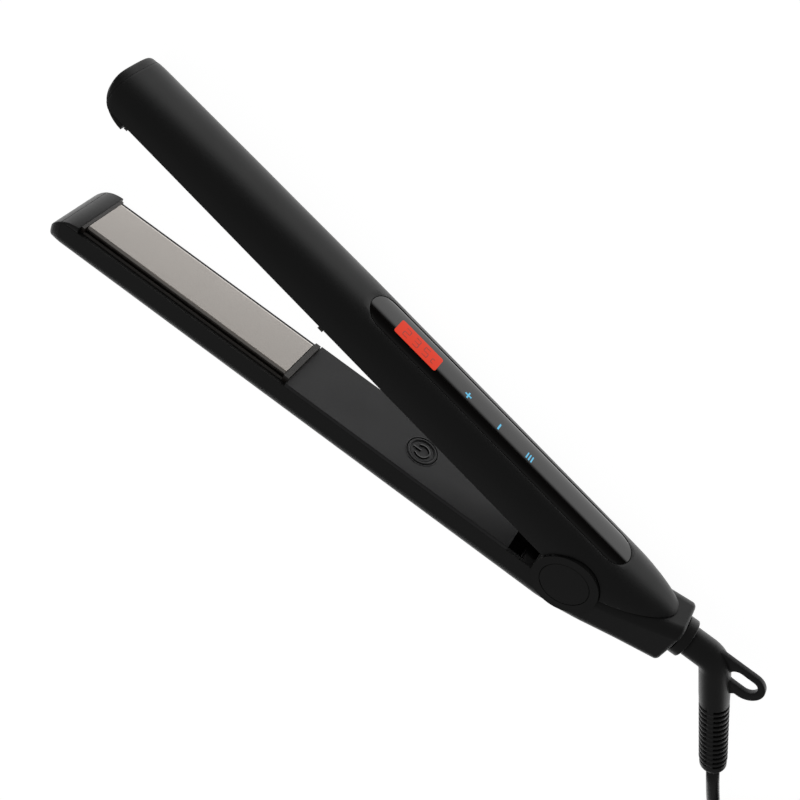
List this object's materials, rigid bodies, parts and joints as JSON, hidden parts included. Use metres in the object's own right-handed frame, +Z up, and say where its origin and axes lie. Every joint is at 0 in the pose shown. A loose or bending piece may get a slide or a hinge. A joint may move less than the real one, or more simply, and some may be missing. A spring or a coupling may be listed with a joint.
{
  "type": "flat iron",
  "caption": "Flat iron for hair, lying open on its side: two sprung arms, floating plates, touch keys on a smoked window, swivel cord.",
  "frame": {"origin": "on the hinge axis, in the table's surface, under the far hub cap's outer face", "axes": "+X along the lower arm to its tip, +Y towards the lower arm's back, +Z up along the hinge axis"},
  "size_m": [0.5108, 0.2237, 0.0391],
  "materials": {
    "soft_touch_black": "soft-touch matte",
    "inner_cover_black": "fine matte texture",
    "bed_nylon": "satin",
    "titanium_plate": "satin titanium coating",
    "ceramic_heater": "matt",
    "silicone_pad": "matt",
    "zinc_steel": "zinc plated",
    "sintered_bronze": "satin",
    "circuit_board": "gloss",
    "component_black": "satin",
    "smoked_window": "high gloss",
    "lcd_glass": "gloss",
    "foam_key_pad": "matt",
    "cord_pvc": "satin",
    "nickel_brass": "nickel plated"
  },
  "bodies": {
    "lower_arm": {"lower_shell": "soft_touch_black", "lower_cover": "inner_cover_black", "lower_end_cap": "soft_touch_black", "lower_heater_bed": "bed_nylon", "lower_float_pad_1": "silicone_pad", "lower_float_pad_2": "silicone_pad", "lower_bed_screw_1": "zinc_steel", "lower_bed_screw_2": "zinc_steel", "power_switch": "component_black", "main_board": "circuit_board", "board_part_1": "component_black", "board_part_2": "component_black", "board_part_3": "component_black", "board_screw_1": "zinc_steel", "board_screw_2": "zinc_steel", "hinge_pin": "zinc_steel", "hinge_spring": "zinc_steel", "hub_cap_near": "soft_touch_black", "hub_cap_far": "soft_touch_black", "swivel_collar": "soft_touch_black", "cord": "cord_pvc", "cord_coil": "cord_pvc", "cord_tail": "cord_pvc", "coil_tie": "cord_pvc", "plug_body": "soft_touch_black", "plug_pin_1": "nickel_brass", "plug_pin_2": "nickel_brass"},
    "lower_plate": {"lower_plate": "titanium_plate", "lower_heater": "ceramic_heater"},
    "power_button": {"power_button": "soft_touch_black"},
    "upper_arm": {"upper_shell": "soft_touch_black", "upper_cover": "inner_cover_black", "upper_end_cap": "soft_touch_black", "upper_heater_bed": "bed_nylon", "upper_float_pad_1": "silicone_pad", "upper_float_pad_2": "silicone_pad", "upper_bed_screw_1": "zinc_steel", "upper_bed_screw_2": "zinc_steel", "hinge_bush": "sintered_bronze", "display_window": "smoked_window", "lcd_panel": "lcd_glass", "control_board": "circuit_board", "touch_pad_menu": "foam_key_pad", "touch_pad_minus": "foam_key_pad", "touch_pad_plus": "foam_key_pad"},
    "upper_plate": {"upper_plate": "titanium_plate", "upper_heater": "ceramic_heater"},
    "cord_swivel": {"swivel_stem": "bed_nylon", "cord_elbow": "soft_touch_black", "lead_in_elbow": "cord_pvc"}
  },
  "joints": [
    {"name": "arm_hinge", "type": "hinge", "parent": "lower_arm", "child": "upper_arm", "pos_m": [0, 0, 0.0166], "axis": [0, 0, 1], "range_deg": [0, 13.5], "stiffness_Nm_per_rad": 0.5, "springref_deg": -20.05},
    {"name": "lower_plate_float", "type": "slide", "parent": "lower_arm", "child": "lower_plate", "axis": [0, 1, 0], "range_m": [0, 0.001], "stiffness_N_per_m": 5000, "springref_m": -0.0005},
    {"name": "upper_plate_float", "type": "slide", "parent": "upper_arm", "child": "upper_plate", "axis": [-0.2351, -0.972, 0], "range_m": [0, 0.001], "stiffness_N_per_m": 5000, "springref_m": -0.0005},
    {"name": "power_button_press", "type": "slide", "parent": "lower_arm", "child": "power_button", "axis": [0, 1, 0], "range_m": [0, 0.0006], "stiffness_N_per_m": 800, "springref_m": -0.0008},
    {"name": "cord_swivel", "type": "hinge", "parent": "lower_arm", "child": "cord_swivel", "pos_m": [-0.06, -0.0009, 0.0166], "axis": [1, 0, 0], "continuous": true}
  ]
}
